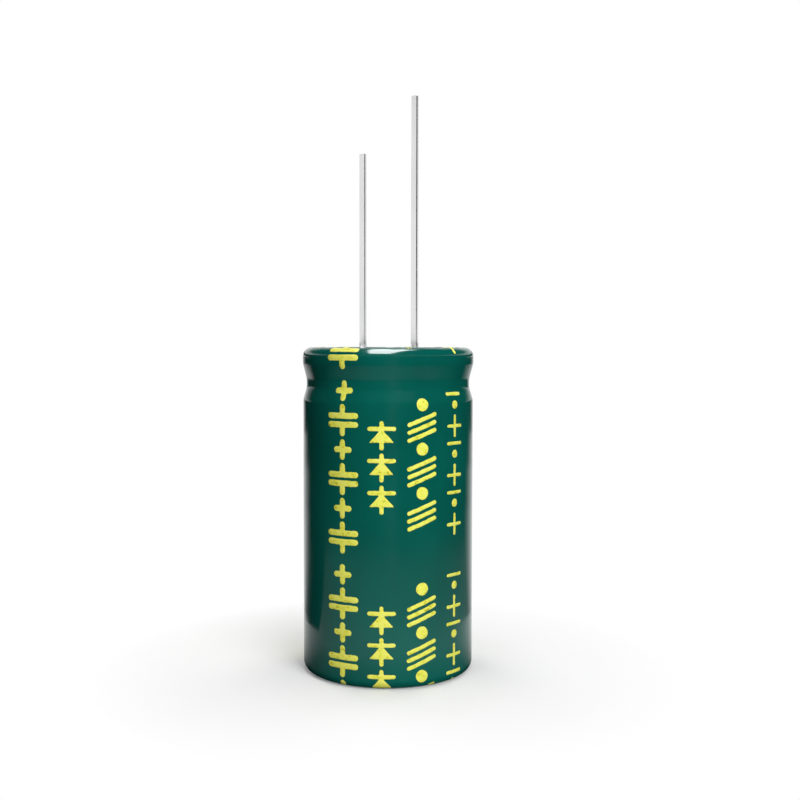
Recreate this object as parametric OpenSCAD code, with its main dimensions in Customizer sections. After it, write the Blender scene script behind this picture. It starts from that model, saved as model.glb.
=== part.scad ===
// Radial-lead aluminium electrolytic capacitor, standing on its closed end with both leads up.
// The origin is the centre of the underside, Z runs up the can, and the positive lead is at +X.

/* [Can] */
// Outside diameter of the drawn aluminium can
can_d = 18; // [16:0.5:22]
// Height of the can, from its closed end to the top of the rolled rim
can_h = 34.5; // [30:0.5:50]
// Thickness of the can's sheet
can_wall = 0.4; // [0.3:0.05:0.5]
// Outer radius of the corner between the wall and the closed end
base_corner_r = 0.75; // [0.6:0.05:1.2]
// How much wider in radius the can is above the bead
rim_swell = 0.05; // [0:0.01:0.1]

/* [Bead] */
// Drop from the top of the rim to the middle of the bead
bead_drop = 3.65; // [3.6:0.05:4.2]
// Depth of the bead, measured on the outside of the can
bead_depth = 1; // [0.7:0.05:1.2]
// Height of the flat at the bottom of the bead
bead_flat = 0.8; // [0.7:0.05:1]
// Height of the bead's slope above that flat
bead_rise = 1.9; // [1.6:0.05:1.95]
// Height of the bead's slope below that flat
bead_fall = 1.5; // [1.3:0.05:1.6]
// Radius of the bends of the bead, on the outside of the can
bead_bend_r = 0.55; // [0.5:0.05:0.7]

/* [Rolled rim] */
// Outer radius of the bend at the top of the can
rim_bend_r = 0.8; // [0.7:0.05:1]
// How far the flat of the rim reaches in over the rubber
rim_reach = 1.5; // [1.3:0.05:2]
// How far the edge of the rim is turned down into the rubber
rim_dip = 0.3; // [0.2:0.05:0.5]
// How far that turned edge runs inwards
rim_edge_run = 0.35; // [0.3:0.05:0.6]

/* [Safety vent] */
// Length of each score line of the cross on the closed end
vent_l = 9; // [6:0.5:11]
// Width of a score line at the surface
vent_w = 0.5; // [0.3:0.05:0.7]
// Depth of a score line
vent_depth = 0.2; // [0.1:0.02:0.24]

/* [Shrink sleeve] */
// Thickness of the plastic film
sleeve_t = 0.15; // [0.1:0.01:0.25]
// Gap left between the film and the can
sleeve_gap = 0.02; // [0.01:0.01:0.05]
// Radius of the opening that the film leaves under the closed end
sleeve_base_open_r = 6.2; // [5.8:0.1:7.2]
// How far the film is shrunk in over the rim
sleeve_lip = 1.1; // [0.95:0.05:1.2]
// Depth to which the film sinks into the bead
sleeve_groove_depth = 0.38; // [0.2:0.01:0.5]
// Height of the deepest part of the film's groove
sleeve_groove_flat = 0.9; // [0.7:0.05:1]
// How far the film runs straight past the bead's shoulders before it sinks in
sleeve_overrun = 0.15; // [0.1:0.05:0.2]
// Radius of the bends of the film's groove
sleeve_bend_r = 1.6; // [1:0.1:1.8]

/* [Rubber bung] */
// Thickness of the rubber bung
bung_t = 6.5; // [6.2:0.1:8]
// Gap left between pieces that are squeezed or pressed together
seat_gap = 0.02; // [0.01:0.01:0.04]
// Radius of the bung's lower edge
bung_edge_r = 0.5; // [0.3:0.05:0.8]
// Radius of the round recess around each lead
recess_r = 1.6; // [1.58:0.01:1.8]
// Depth of the recess around each lead
recess_depth = 0.5; // [0.3:0.05:0.8]
// Thickness of rubber between the recess and the wide part of the hole
bung_skin = 0.9; // [0.7:0.05:1.2]

/* [Leads] */
// Distance between the two leads
lead_pitch = 7.5; // [6.5:0.1:8.5]
// Diameter of the lead wire
lead_d = 0.8; // [0.6:0.05:1]
// Length of the positive lead above the top of the rim
positive_l = 26.5; // [20:0.1:40]
// Length of the negative lead above the top of the rim
negative_l = 21.3; // [15:0.1:35]
// How much the weld widens the foot of the wire, in radius
weld_swell = 0.25; // [0.15:0.05:0.35]
// Length of the straight wire below the floor of the recess
weld_drop = 0.05; // [0.03:0.01:0.08]

/* [Tabs] */
// Diameter of the round boss that fills the hole in the rubber
boss_d = 2.2; // [2:0.1:2.6]
// Length of the boss below the rubber
boss_tail = 0.4; // [0.2:0.1:0.6]
// Height over which the boss is pressed flat
tab_taper = 1.2; // [0.9:0.1:1.3]
// Thickness of the flat tab
tab_t = 0.3; // [0.2:0.05:0.4]
// How deep the flat tab runs into the roll
tab_in = 13; // [8:0.5:18]
// Gap around the flat tab in the roll
tab_gap = 0.05; // [0.03:0.01:0.1]

/* [Roll of foil and paper] */
// Gap between the roll's tape and the can
roll_gap = 0.3; // [0.1:0.05:0.4]
// Free height between the roll and the rubber
roll_head = 2.2; // [2:0.1:3]
// Diameter of the hole that the winding pin leaves
roll_core_d = 2.8; // [2:0.1:3.2]
// Spacing of the turns that show on the roll's ends
turn_pitch = 1.1; // [0.9:0.05:1.3]
// Depth by which the foil's edges lie below the paper's edges
turn_depth = 0.5; // [0.3:0.05:0.8]

/* [Closing tape] */
// Thickness of the tape that holds the roll shut
tape_t = 0.08; // [0.05:0.01:0.12]
// Height of that tape
tape_h = 12; // [8:1:16]

/* [Print] */
// Thickness of the ink
ink_t = 0.04; // [0.02:0.01:0.06]
// Width of a printed line
stroke = 0.42; // [0.3:0.02:0.5]
// Height after which the print repeats
print_pitch = 18.8; // [18:0.1:22]
// Direction of the middle of the print, counted from the positive lead
print_angle = -39; // [-50:1:-25]
// Angle between two columns of print
column_step = 26.4; // [25:0.1:28]
// Width of the polarity stripe, as an angle
stripe_angle = 54; // [40:1:60]

/* [Hidden] */
$fn = 96;

// Cutters reach this far past the faces that they open
past = 1;
// Largest turn between two chords of a bend
bend_step = 15;
// Inside radius of the bend at the rim's turned edge
rim_edge_r = 0.1;

can_r = can_d / 2;
rim_r = can_r + rim_swell;
sleeve_r = can_r + sleeve_gap + sleeve_t;
can_base_z = sleeve_t + sleeve_gap;
can_top_z = can_base_z + can_h;
sleeve_top_z = can_top_z + sleeve_gap + sleeve_t;
bead_z = can_top_z - bead_drop;
bead_low_z = bead_z - bead_flat / 2 - bead_fall;
bead_high_z = bead_z + bead_flat / 2 + bead_rise;

// Outlines in this file are lists of [radius, height, radius of the bend]. They start near the
// axis at the bottom and run outwards, up, and back inwards, so their inside is on the left.

// Outside face of the can, from the centre of its closed end to the edge of the rolled rim
can_path = [
    [0, can_base_z, 0],
    [can_r, can_base_z, base_corner_r],
    [can_r, bead_low_z, bead_bend_r],
    [can_r - bead_depth, bead_z - bead_flat / 2, bead_bend_r],
    [can_r - bead_depth, bead_z + bead_flat / 2, bead_bend_r],
    [rim_r, bead_high_z, bead_bend_r],
    [rim_r, can_top_z, rim_bend_r],
    [rim_r - rim_reach, can_top_z, can_wall + rim_edge_r],
    [rim_r - rim_reach - rim_edge_run, can_top_z - rim_dip, 0]
];

// Face of the rubber that the can grips, one sheet and one gap inside the can's outside face
grip_path = moved_left(can_path, can_wall + seat_gap);
bung_r = can_r - can_wall - seat_gap;
bung_top_z = grip_path[len(grip_path) - 1][1];
bung_base_z = bung_top_z - bung_t;

// Outside face of the film, which spans the bead with a shallow groove of its own
film_swell_r = sleeve_r + rim_swell;
sleeve_path = [
    [sleeve_base_open_r, 0, 0],
    [sleeve_r, 0, base_corner_r + sleeve_gap + sleeve_t],
    [sleeve_r, bead_low_z + sleeve_overrun, sleeve_bend_r],
    [sleeve_r - sleeve_groove_depth, bead_z - sleeve_groove_flat / 2, sleeve_bend_r],
    [sleeve_r - sleeve_groove_depth, bead_z + sleeve_groove_flat / 2, sleeve_bend_r],
    [film_swell_r, bead_high_z - sleeve_overrun, sleeve_bend_r],
    [film_swell_r, sleeve_top_z, rim_bend_r + sleeve_gap + sleeve_t],
    [rim_r - sleeve_lip, sleeve_top_z, 0]
];

// The part of the film's outside that takes ink, from above the bend at the base to the top of
// the bend at the rim
base_bend_r = sleeve_path[1][2];
rim_bend_end_r = film_swell_r - sleeve_path[len(sleeve_path) - 2][2];
print_path = [
    [sleeve_r, base_bend_r, 0],
    for (i = [2:len(sleeve_path) - 2]) sleeve_path[i],
    [rim_bend_end_r, sleeve_top_z, 0]
];

// Levels along a lead, from the weld up
recess_z = bung_top_z - recess_depth;
boss_top_z = recess_z - bung_skin;
wire_z = recess_z - weld_drop;
boss_base_z = bung_base_z - boss_tail;
wire_r = lead_d / 2;
weld_r = wire_r + weld_swell;
boss_r = boss_d / 2;

// The roll stands on the can's floor and fills the can up to the free height under the rubber
roll_base_z = can_base_z + can_wall;
roll_top_z = bung_base_z - roll_head;
roll_r = can_r - can_wall - roll_gap - tape_t - seat_gap;
foil_w = turn_pitch / 2;
turns = floor((roll_r - roll_core_d / 2 - foil_w) / turn_pitch);

// The stripe lies beside the negative lead, and its minus signs repeat along the can
stripe_dir = 180;
minus_l = 3.4;
minus_w = 1.1;
minus_step = print_pitch / 3;

// Heights at which the first whole block of each kind of column starts
column_starts = [15.5, 18.8, 17, 16.6];
kinds = len(column_starts);
// Directions of the columns: one of each kind round the front, two more on the way to the stripe
front_dirs = [for (i = [0:kinds - 1]) print_angle + (i - (kinds - 1) / 2) * column_step];
back_turn = 110;
back_columns = 2;
back_dirs = [for (i = [0:back_columns - 1]) print_angle + back_turn + i * column_step];
column_dirs = concat(front_dirs, back_dirs);
column_w = 3;
bold_stroke = 0.6;
thin_stroke = 0.34;
// How many times a mark stands in one block of a column
block_marks = 3;

// Sizes inside the marks, and the step after which each mark repeats
plate_step = 6;
plate_gap = 0.9;
plate_wire = 0.9;
plus_w = 1.5;
arrow_step = 3.25;
arrow_w = 2.5;
arrow_h = 1.4;
arrow_wire = 0.55;
slant_step = 4.5;
slant_rise = 0.8;
slant = 20;
slant_dot_r = 0.65;
slant_dot_y = 3.1;
sign_step = 5.1;
sign_w = 2;
sign_dot_r = 0.42;
sign_dot_y = 2.2;
minus_y = 3.3;

function unit(v) = v / norm(v);
function left_of(a, b) = let (d = unit([b[0] - a[0], b[1] - a[1]])) [-d[1], d[0]];

// An open outline moved to its left by a distance, with each bend's radius changed to suit
function moved_left(path, d) = [
    for (i = [0:len(path) - 1])
        let (
            last = len(path) - 1,
            before = left_of(path[max(i - 1, 0)], path[max(i, 1)]),
            after = left_of(path[min(i, last - 1)], path[min(i + 1, last)]),
            along = (before + after) / (1 + before * after),
            turn = cross(before, after),
            bend = path[i][2] == 0 ? 0 : path[i][2] - sign(turn) * d
        )
        [path[i][0] + along[0] * d, path[i][1] + along[1] * d, bend]
];

function backwards(path) = [for (i = [len(path) - 1:-1:0]) path[i]];

// Section of a sheet whose right-hand face is the outline
function sheet(path, t) = concat(path, backwards(moved_left(path, t)));

// Points of one bend, as chords that each turn by at most bend_step
function bend(from, corner, to) =
    corner[2] == 0 ? [[corner[0], corner[1]]] :
    let (
        before = left_of(from, corner),
        after = left_of(corner, to),
        turn = atan2(cross(before, after), before * after),
        r = sign(turn) * corner[2],
        centre = [corner[0], corner[1]] + unit(before + after) * r / cos(turn / 2),
        steps = ceil(abs(turn) / bend_step)
    )
    [
        for (k = [0:steps])
            let (a = turn * k / steps, across = [-before[1], before[0]])
            centre - r * (before * cos(a) + across * sin(a))
    ];

// Points of a closed outline with its corners rounded
function rounded(path) =
    let (n = len(path))
    [for (i = [0:n - 1]) each bend(path[(i + n - 1) % n], path[i], path[(i + 1) % n])];

module turned(path) {
    rotate_extrude() polygon(rounded(path));
}

// Heat-shrunk plastic film, curled over the rim and under the closed end
module sleeve() {
    color("#065c52") turned(sheet(sleeve_path, sleeve_t));
}

// One V-shaped score line across the closed end
module score_line() {
    rotate([90, 0, 0])
        translate([0, can_base_z, -vent_l / 2])
            linear_extrude(vent_l)
                polygon([[-vent_w, -vent_depth], [vent_w, -vent_depth], [0, vent_depth]]);
}

// Deep-drawn can with its bead, its rolled rim and the scored cross that lets pressure out
module can() {
    color("#c9ccce")
        difference() {
            turned(sheet(can_path, can_wall));
            for (turn = [0, 90]) rotate(turn) score_line();
        }
}

// Moulded rubber, held by the bead in its flank and by the rim on its shoulder
module rubber_bung() {
    shoulder = [for (i = [2:len(grip_path) - 1]) grip_path[i]];
    body = concat([[0, bung_base_z, 0], [bung_r, bung_base_z, bung_edge_r]], shoulder,
        [[0, bung_top_z, 0]]);
    color("#1b1c1d")
        difference() {
            turned(body);
            for (side = [-1, 1])
                translate([side * lead_pitch / 2, 0, 0]) lead_hole();
        }
}

// Stepped hole for one boss, its weld and its wire
module lead_hole() {
    translate([0, 0, bung_base_z - past])
        cylinder(r = boss_r + seat_gap, h = boss_top_z - bung_base_z + past);
    translate([0, 0, boss_top_z - past])
        cylinder(r = weld_r + seat_gap, h = bung_top_z - boss_top_z + 2 * past);
    translate([0, 0, recess_z])
        cylinder(r = recess_r, h = recess_depth + past);
}

// Tinned wire, cut square at its tip, with the widened weld at its foot
module lead(side, length) {
    translate([side * lead_pitch / 2, 0, 0]) {
        translate([0, 0, wire_z])
            cylinder(r = wire_r, h = can_top_z + length - wire_z, $fn = 48);
        translate([0, 0, boss_top_z])
            cylinder(r1 = weld_r, r2 = wire_r, h = wire_z - boss_top_z, $fn = 48);
    }
}

module positive_lead() {
    color("#d4d6d8") lead(1, positive_l);
}

module negative_lead() {
    color("#d4d6d8") lead(-1, negative_l);
}

// Aluminium boss that is pressed flat below the rubber and runs on into the roll
module tab(side) {
    flat_z = boss_base_z - tab_taper;
    end_z = roll_top_z - tab_in;
    outline = [
        [-boss_r, boss_top_z], [-boss_r, boss_base_z], [-tab_t / 2, flat_z], [-tab_t / 2, end_z],
        [tab_t / 2, end_z], [tab_t / 2, flat_z], [boss_r, boss_base_z], [boss_r, boss_top_z]
    ];
    translate([side * lead_pitch / 2, 0, 0])
        intersection() {
            translate([0, 0, end_z]) cylinder(r = boss_r, h = boss_top_z - end_z);
            rotate([90, 0, 0])
                translate([0, 0, -boss_d]) linear_extrude(2 * boss_d) polygon(outline);
        }
}

module positive_tab() {
    color("#d9dbdc") tab(1);
}

module negative_tab() {
    color("#d9dbdc") tab(-1);
}

// One spiral of foil edges, drawn as half rings about two centres
module spiral() {
    for (i = [0:2 * turns - 1]) {
        inside_r = roll_core_d / 2 + (i + 1) * turn_pitch / 2;
        rotate(i % 2 * 180)
            translate([turn_pitch / 4, 0])
                intersection() {
                    difference() {
                        circle(inside_r + foil_w);
                        circle(inside_r);
                    }
                    translate([-can_d, 0]) square([2 * can_d, can_d]);
                }
    }
}

// Foil and paper wound into one roll, with the foil's edges set back at both ends
module wound_element() {
    slot_r = boss_r + tab_gap;
    slot_t = tab_t + 2 * tab_gap;
    color("#b9a27a")
        difference() {
            translate([0, 0, roll_base_z]) cylinder(r = roll_r, h = roll_top_z - roll_base_z);
            translate([0, 0, roll_base_z - past])
                cylinder(r = roll_core_d / 2, h = roll_top_z - roll_base_z + 2 * past);
            translate([0, 0, roll_top_z - turn_depth]) linear_extrude(turn_depth + past) spiral();
            translate([0, 0, roll_base_z - past]) linear_extrude(turn_depth + past) spiral();
            for (side = [-1, 1])
                translate([side * lead_pitch / 2 - slot_t / 2, -slot_r, roll_top_z - tab_in - tab_gap])
                    cube([slot_t, 2 * slot_r, tab_in + tab_gap + past]);
        }
}

// Tape around the middle of the roll
module closing_tape() {
    middle_z = (roll_base_z + roll_top_z) / 2;
    color("#c28f4a")
        translate([0, 0, middle_z - tape_h / 2])
            difference() {
                cylinder(r = roll_r + seat_gap + tape_t, h = tape_h);
                translate([0, 0, -past]) cylinder(r = roll_r + seat_gap, h = tape_h + 2 * past);
            }
}

// A flat shape laid on the sleeve: its X runs round the can and its Y up the can
module inked(angle) {
    intersection() {
        turned(sheet(moved_left(print_path, -ink_t), ink_t));
        rotate(angle)
            rotate([90, 0, 90])
                linear_extrude(film_swell_r + past) children();
    }
}

// Line with round ends, running up from the origin
module bar(length, width = stroke) {
    translate([-width / 2, 0]) square([width, length]);
    for (y = [0, length]) translate([0, y]) circle(d = width, $fn = 24);
}

// Line across the column, centred on the origin
module cross_bar(length, width = stroke) {
    translate([length / 2, 0]) rotate(90) bar(length, width);
}

module plus(size, width = stroke) {
    translate([0, -size / 2]) bar(size, width);
    cross_bar(size, width);
}

// Two plates on their wires, as a circuit diagram shows a capacitor
module plates() {
    for (flip = [0, 1]) mirror([0, flip])
        translate([0, plate_gap / 2]) {
            cross_bar(column_w, bold_stroke);
            bar(plate_wire, bold_stroke);
        }
}

// Bold column: pairs of plates, each with a plus sign above it
module plate_column() {
    for (i = [0:block_marks - 1]) translate([0, i * plate_step]) {
        plates();
        translate([0, plate_step / 2]) plus(plus_w, bold_stroke);
    }
}

// Column of arrowheads, each with a bar across its tip and a wire at both ends
module arrow_column() {
    for (i = [0:block_marks - 1]) translate([0, i * arrow_step]) {
        polygon([[-arrow_w / 2, 0], [arrow_w / 2, 0], [0, arrow_h]]);
        translate([0, arrow_h]) cross_bar(arrow_w);
        for (y = [-arrow_wire, arrow_h]) translate([0, y]) bar(arrow_wire);
    }
}

// Column of slanted strokes in threes, with a dot above each three
module slant_column() {
    for (i = [0:block_marks - 1]) translate([0, i * slant_step]) {
        for (k = [0:2]) translate([0, k * slant_rise]) rotate(slant) cross_bar(column_w);
        translate([0, slant_dot_y]) circle(slant_dot_r, $fn = 48);
    }
}

// Thin column of plus signs, dots and minus signs
module sign_column() {
    for (i = [0:block_marks - 1]) translate([0, i * sign_step]) {
        plus(sign_w, thin_stroke);
        translate([0, sign_dot_y]) circle(sign_dot_r, $fn = 48);
        translate([0, minus_y]) cross_bar(sign_w, thin_stroke);
    }
}

module column(kind) {
    if (kind == 0) plate_column();
    if (kind == 1) arrow_column();
    if (kind == 2) slant_column();
    if (kind == 3) sign_column();
}

// Simple marks in columns round the front and the back, repeated up the can
module sleeve_print() {
    color("#f4f56a")
        for (i = [0:len(column_dirs) - 1]) {
            kind = i % kinds;
            inked(column_dirs[i])
                for (repeat = [-1:1])
                    translate([0, column_starts[kind] + repeat * print_pitch]) column(kind);
        }
}

// Broad stripe with minus signs left open, which marks the negative lead
module polarity_stripe() {
    half_w = sleeve_r * stripe_angle * PI / 360;
    color("#f4f56a")
        inked(stripe_dir)
            difference() {
                translate([-half_w, 0]) square([2 * half_w, sleeve_top_z + past]);
                for (z = [minus_step / 2:minus_step:can_top_z])
                    translate([-minus_w / 2, z - minus_l / 2]) square([minus_w, minus_l]);
            }
}

sleeve();
can();
rubber_bung();
positive_lead();
negative_lead();
positive_tab();
negative_tab();
wound_element();
closing_tape();
sleeve_print();
polarity_stripe();
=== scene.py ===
"""Radial aluminium electrolytic capacitor, standing on its closed end with its two leads up.

The part's lengths are in millimetres until a mesh is made, where MM turns them to metres. Those
of the studio are in metres where no comment says millimetres. +Z runs up the can and +X towards
the positive lead.
"""

import math

import bmesh
import bpy
import numpy as np
from mathutils import Matrix, Vector


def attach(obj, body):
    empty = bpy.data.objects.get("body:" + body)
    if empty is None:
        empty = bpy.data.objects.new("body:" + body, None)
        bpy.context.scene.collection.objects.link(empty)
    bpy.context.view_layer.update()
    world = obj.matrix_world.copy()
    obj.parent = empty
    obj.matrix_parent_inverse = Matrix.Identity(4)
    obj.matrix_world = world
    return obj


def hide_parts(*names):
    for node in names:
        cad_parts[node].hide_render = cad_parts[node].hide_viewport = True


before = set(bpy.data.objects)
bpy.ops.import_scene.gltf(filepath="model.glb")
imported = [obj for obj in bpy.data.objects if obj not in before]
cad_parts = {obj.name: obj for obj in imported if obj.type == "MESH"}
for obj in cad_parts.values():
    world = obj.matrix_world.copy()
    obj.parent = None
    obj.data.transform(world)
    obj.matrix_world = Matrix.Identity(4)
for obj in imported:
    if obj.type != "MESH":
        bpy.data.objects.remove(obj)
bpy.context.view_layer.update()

MM = 0.001

# ---- The part's sizes, as its CAD source has them ----

CAN_D = 18
CAN_H = 34.5
CAN_WALL = 0.4
BASE_CORNER_R = 0.75
RIM_SWELL = 0.05
BEAD_DROP = 3.65
BEAD_DEPTH = 1
BEAD_FLAT = 0.8
BEAD_RISE = 1.9
BEAD_FALL = 1.5
BEAD_BEND_R = 0.55
RIM_BEND_R = 0.8
RIM_REACH = 1.5
RIM_DIP = 0.3
RIM_EDGE_RUN = 0.35
RIM_EDGE_R = 0.5
VENT_L = 9
VENT_W = 0.5
VENT_DEPTH = 0.2

FILM_T = 0.15
FILM_GAP = 0.02
FILM_OPEN_R = 6.2
FILM_LIP = 1.1
FILM_BASE_BEND_R = 0.92
FILM_RIM_BEND_R = 0.97
FILM_BEND_R = 1.6
FILM_OVERRUN = 0.15
GROOVE_DEPTH = 0.38
GROOVE_FLAT = 0.9

BUNG_TOP_Z = 34.051
BUNG_T = 6.5
BUNG_EDGE_R = 0.5
SEAT_GAP = 0.02
RECESS_R = 1.6
RECESS_DEPTH = 0.5
BUNG_SKIN = 0.9

LEAD_PITCH = 7.5
LEAD_D = 0.8
POSITIVE_L = 26.5
NEGATIVE_L = 21.3
WELD_R = 0.65
WELD_DROP = 0.05
BOSS_HOLE_R = 1.12

CAN_R = CAN_D / 2
RIM_R = CAN_R + RIM_SWELL
FILM_R = CAN_R + FILM_GAP + FILM_T
CAN_BASE_Z = FILM_T + FILM_GAP
CAN_TOP_Z = CAN_BASE_Z + CAN_H
FILM_TOP_Z = CAN_TOP_Z + FILM_GAP + FILM_T
BEAD_Z = CAN_TOP_Z - BEAD_DROP
BEAD_LOW_Z = BEAD_Z - BEAD_FLAT / 2 - BEAD_FALL
BEAD_HIGH_Z = BEAD_Z + BEAD_FLAT / 2 + BEAD_RISE

# Outlines are lists of (radius, height, radius of the bend), with the inside on the left.
CAN_PATH = [
    (0, CAN_BASE_Z, 0),
    (CAN_R, CAN_BASE_Z, BASE_CORNER_R),
    (CAN_R, BEAD_LOW_Z, BEAD_BEND_R),
    (CAN_R - BEAD_DEPTH, BEAD_Z - BEAD_FLAT / 2, BEAD_BEND_R),
    (CAN_R - BEAD_DEPTH, BEAD_Z + BEAD_FLAT / 2, BEAD_BEND_R),
    (RIM_R, BEAD_HIGH_Z, BEAD_BEND_R),
    (RIM_R, CAN_TOP_Z, RIM_BEND_R),
    (RIM_R - RIM_REACH, CAN_TOP_Z, RIM_EDGE_R),
    (RIM_R - RIM_REACH - RIM_EDGE_RUN, CAN_TOP_Z - RIM_DIP, 0),
]
FILM_PATH = [
    (FILM_OPEN_R, 0, 0),
    (FILM_R, 0, FILM_BASE_BEND_R),
    (FILM_R, BEAD_LOW_Z + FILM_OVERRUN, FILM_BEND_R),
    (FILM_R - GROOVE_DEPTH, BEAD_Z - GROOVE_FLAT / 2, FILM_BEND_R),
    (FILM_R - GROOVE_DEPTH, BEAD_Z + GROOVE_FLAT / 2, FILM_BEND_R),
    (FILM_R + RIM_SWELL, BEAD_HIGH_Z - FILM_OVERRUN, FILM_BEND_R),
    (FILM_R + RIM_SWELL, FILM_TOP_Z, FILM_RIM_BEND_R),
    (RIM_R - FILM_LIP, FILM_TOP_Z, 0),
]

# ---- Camera ----

# Fitted to the photograph's outline: distance from the can's axis, height above the film's top and
# shift to the right in millimetres, the turns of the camera, and the angle by which all of it is
# turned round the part, in radians.
PHOTO_WIDTH = 800
FOCAL_PX = 1110.18
CAMERA_OUT = 120.4075
CAMERA_UP = 0.4312
CAMERA_ASIDE = 0.3979
CAMERA_YAW = 0.0074
CAMERA_PITCH = -0.0508
CAMERA_ROLL = 0.0017
PART_TURN = 0.7278
CAMERA_SIDE = PART_TURN - math.pi / 2


def make_camera():
    """The camera of the photograph, set up by its right, up and forward directions."""
    yaw, pitch, roll = CAMERA_YAW, CAMERA_PITCH, CAMERA_ROLL
    run = math.cos(pitch)
    ahead = Vector((math.sin(yaw) * run, math.cos(yaw) * run, math.sin(pitch)))
    level = Vector((math.cos(yaw), -math.sin(yaw), 0))
    upright = level.cross(ahead)
    right = math.cos(roll) * level + math.sin(roll) * upright
    up = math.cos(roll) * upright - math.sin(roll) * level
    place = Vector((CAMERA_ASIDE, -CAMERA_OUT, FILM_TOP_Z + CAMERA_UP)) * MM
    spot = Matrix.Rotation(PART_TURN, 4, "Z") @ Matrix.Translation(place)
    axes = Matrix((right, up, -ahead)).transposed().to_4x4()
    data = bpy.data.cameras.new("camera")
    data.sensor_width = 36
    data.lens = FOCAL_PX * data.sensor_width / PHOTO_WIDTH
    data.clip_start, data.clip_end = 0.005, 20
    camera = bpy.data.objects.new("camera", data)
    camera.matrix_world = spot @ axes
    bpy.context.scene.collection.objects.link(camera)
    bpy.context.scene.camera = camera


make_camera()

# ---- Materials ----


def linear(hex_colour):
    """An sRGB hex colour as linear red, green, blue and alpha."""
    parts = [int(hex_colour[i : i + 2], 16) / 255 for i in (1, 3, 5)]
    return [p / 12.92 if p <= 0.04045 else ((p + 0.055) / 1.055) ** 2.4 for p in parts] + [1]


def add(tree, kind, settings=None, stops=(), **sockets):
    """Adds a node. A socket takes a value, or a node or one of its outputs as a link.

    A ramp's stops are positions, each with a hex colour or a grey level.
    """
    node = tree.nodes.new(kind)
    for name, value in (settings or {}).items():
        setattr(node, name, value)
    for name, value in sockets.items():
        socket = node.inputs[int(name[1:]) if name[0] == "_" else name.replace("_", " ")]
        if isinstance(value, bpy.types.Node):
            value = value.outputs[0]
        if isinstance(value, bpy.types.NodeSocket):
            tree.links.new(value, socket)
        else:
            socket.default_value = value
    if stops:
        elements = node.color_ramp.elements
        while len(elements) < len(stops):
            elements.new(0.5)
        for element, (position, colour) in zip(elements, stops):
            element.position = position
            element.color = linear(colour) if isinstance(colour, str) else [colour] * 3 + [1]
    return node


def start(name):
    """A new material, its empty tree and the object's coordinates."""
    material = bpy.data.materials.new(name)
    material.use_nodes = True
    tree = material.node_tree
    tree.nodes.clear()
    place = add(tree, "ShaderNodeTexCoord").outputs["Object"]
    return material, tree, place


def unit_mm(x, y, z):
    """A mapping's scale at which one unit of its pattern is x, y and z millimetres."""
    return 1 / (x * MM), 1 / (y * MM), 1 / (z * MM)


def shrink_film():
    """PET heat-shrink tubing, extruded and blown, then shrunk on with hot air.

    Deep teal pigment under a hard gloss. The die leaves fine lines along the tube, the shrinking
    a faint orange peel and slow changes of depth in the colour. The real die lines are finer, and
    are drawn 0.35 mm wide so that they show.
    """
    material, tree, place = start("pet_shrink_film")
    cloud_map = add(tree, "ShaderNodeMapping", Vector=place, Scale=unit_mm(6, 6, 9))
    clouds = add(tree, "ShaderNodeTexNoise", Vector=cloud_map, Scale=1, Detail=3)
    teal = [(0.25, "#04564c"), (0.75, "#076459")]
    colour = add(tree, "ShaderNodeValToRGB", Fac=clouds, stops=teal)
    line_map = add(tree, "ShaderNodeMapping", Vector=place, Scale=unit_mm(0.35, 0.35, 30))
    die_lines = add(tree, "ShaderNodeTexNoise", Vector=line_map, Scale=1, Detail=1)
    peel_map = add(tree, "ShaderNodeMapping", Vector=place, Scale=unit_mm(1.4, 1.4, 1.8))
    peel = add(tree, "ShaderNodeTexNoise", Vector=peel_map, Scale=1, Detail=2)
    relief = add(
        tree, "ShaderNodeMath", {"operation": "MULTIPLY_ADD"}, _0=die_lines, _1=0.35, _2=peel
    )
    bump = add(tree, "ShaderNodeBump", Strength=0.12, Distance=0.01 * MM, Height=relief)
    haze_map = add(tree, "ShaderNodeMapping", Vector=place, Scale=unit_mm(2.5, 2.5, 4))
    haze = add(tree, "ShaderNodeTexNoise", Vector=haze_map, Scale=1, Detail=2)
    gloss = add(tree, "ShaderNodeValToRGB", Fac=haze, stops=[(0.3, 0.1), (0.7, 0.15)])
    bsdf = add(
        tree, "ShaderNodeBsdfPrincipled", Base_Color=colour, Roughness=gloss, IOR=1.57, Normal=bump
    )
    add(tree, "ShaderNodeOutputMaterial", Surface=bsdf)
    return material


def printing_ink():
    """Yellow solvent ink, rolled on before the film is shrunk.

    Opaque in the middle of a stroke, thin and olive where the plate left too little of it, with a
    faint grain from the film's pull.
    """
    material, tree, place = start("yellow_printing_ink")
    starved_map = add(tree, "ShaderNodeMapping", Vector=place, Scale=unit_mm(0.55, 0.55, 0.4))
    starved = add(
        tree, "ShaderNodeTexNoise", Vector=starved_map, Scale=1, Detail=4, Roughness=0.65
    )
    grain_map = add(tree, "ShaderNodeMapping", Vector=place, Scale=unit_mm(0.12, 0.12, 0.12))
    grain = add(tree, "ShaderNodeTexNoise", Vector=grain_map, Scale=1, Detail=2)
    cover = add(
        tree, "ShaderNodeMath", {"operation": "MULTIPLY_ADD"}, _0=grain, _1=0.22, _2=starved
    )
    yellow = [(0.42, "#c4bf2c"), (0.5, "#f0ef4e"), (0.6, "#fcfc66"), (0.9, "#fefe86")]
    colour = add(tree, "ShaderNodeValToRGB", Fac=cover, stops=yellow)
    bump = add(tree, "ShaderNodeBump", Strength=0.25, Distance=0.008 * MM, Height=cover)
    bsdf = add(
        tree, "ShaderNodeBsdfPrincipled", Base_Color=colour, Roughness=0.38, IOR=1.48, Normal=bump
    )
    add(tree, "ShaderNodeOutputMaterial", Surface=bsdf)
    return material


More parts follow.
